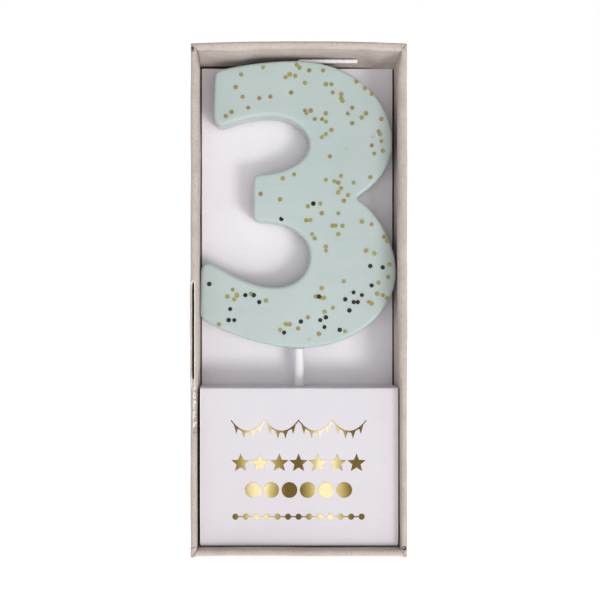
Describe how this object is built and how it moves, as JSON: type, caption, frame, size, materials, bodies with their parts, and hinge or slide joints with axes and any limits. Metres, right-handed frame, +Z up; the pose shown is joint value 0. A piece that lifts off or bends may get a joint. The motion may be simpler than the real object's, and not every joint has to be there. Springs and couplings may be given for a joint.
{
  "type": "number birthday candle",
  "caption": "Wax figure 3 candle with gold sequins, bent wick and plastic pick, standing in a folded card insert inside an open upright display tray of rolled-edge board.",
  "frame": {"origin": "middle of the tray's outside bottom face, which the tray stands on, halfway between its rim and its back", "axes": "+Z up along the pick, +Y from the tray's open face to its back, +X to the right of someone looking at the candle"},
  "size_m": [0.0762, 0.023, 0.1807],
  "materials": {
    "board": "matte",
    "card": "matte",
    "foil": "gloss",
    "wax": "satin",
    "wick_cotton": "matte",
    "pick_plastic": "satin",
    "sequin_gold": "gloss"
  },
  "bodies": {
    "tray": {"tray_back": "board", "tray_bottom_wall": "board", "tray_top_wall": "board", "tray_left_wall": "board", "tray_right_wall": "board", "tray_bottom_left_tab": "board", "tray_bottom_right_tab": "board", "tray_top_left_tab": "board", "tray_top_right_tab": "board"},
    "insert": {"insert_back_panel": "card", "insert_bottom_panel": "card", "insert_glue_flap": "card", "insert_shelf_panel": "card", "insert_label_panel": "card", "foil_garland": "foil", "foil_star_1": "foil", "foil_star_2": "foil", "foil_star_3": "foil", "foil_star_4": "foil", "foil_star_5": "foil", "foil_star_6": "foil", "foil_star_7": "foil", "foil_dot_1": "foil", "foil_dot_2": "foil", "foil_dot_3": "foil", "foil_dot_4": "foil", "foil_dot_5": "foil", "foil_dot_6": "foil", "foil_bead_line": "foil"},
    "candle": {"wax_figure": "wax", "pick": "pick_plastic", "sequin_1": "sequin_gold", "sequin_2": "sequin_gold", "sequin_3": "sequin_gold", "sequin_4": "sequin_gold", "sequin_5": "sequin_gold", "sequin_6": "sequin_gold", "sequin_7": "sequin_gold", "sequin_8": "sequin_gold", "sequin_9": "sequin_gold", "sequin_10": "sequin_gold", "sequin_11": "sequin_gold", "sequin_12": "sequin_gold", "sequin_13": "sequin_gold", "sequin_14": "sequin_gold", "sequin_15": "sequin_gold", "sequin_16": "sequin_gold", "sequin_17": "sequin_gold", "sequin_18": "sequin_gold", "sequin_19": "sequin_gold", "sequin_20": "sequin_gold", "sequin_21": "sequin_gold", "sequin_22": "sequin_gold", "sequin_23": "sequin_gold", "sequin_24": "sequin_gold"},
    "wick": {"wick": "wick_cotton"}
  },
  "joints": [
    {"name": "insert_out", "type": "slide", "parent": "tray", "child": "insert", "axis": [0, -1, 0], "range_m": [0, 0.06]},
    {"name": "candle_turn", "type": "hinge", "parent": "insert", "child": "candle", "pos_m": [0.0005, 0.0035, 0.0732], "axis": [0, 0, 1], "range_deg": [-2.5, 2.5]},
    {"name": "wick_bend", "type": "hinge", "parent": "candle", "child": "wick", "pos_m": [0, 0.0035, 0.1774], "axis": [0, 0, -1], "range_deg": [0, 90]}
  ]
}
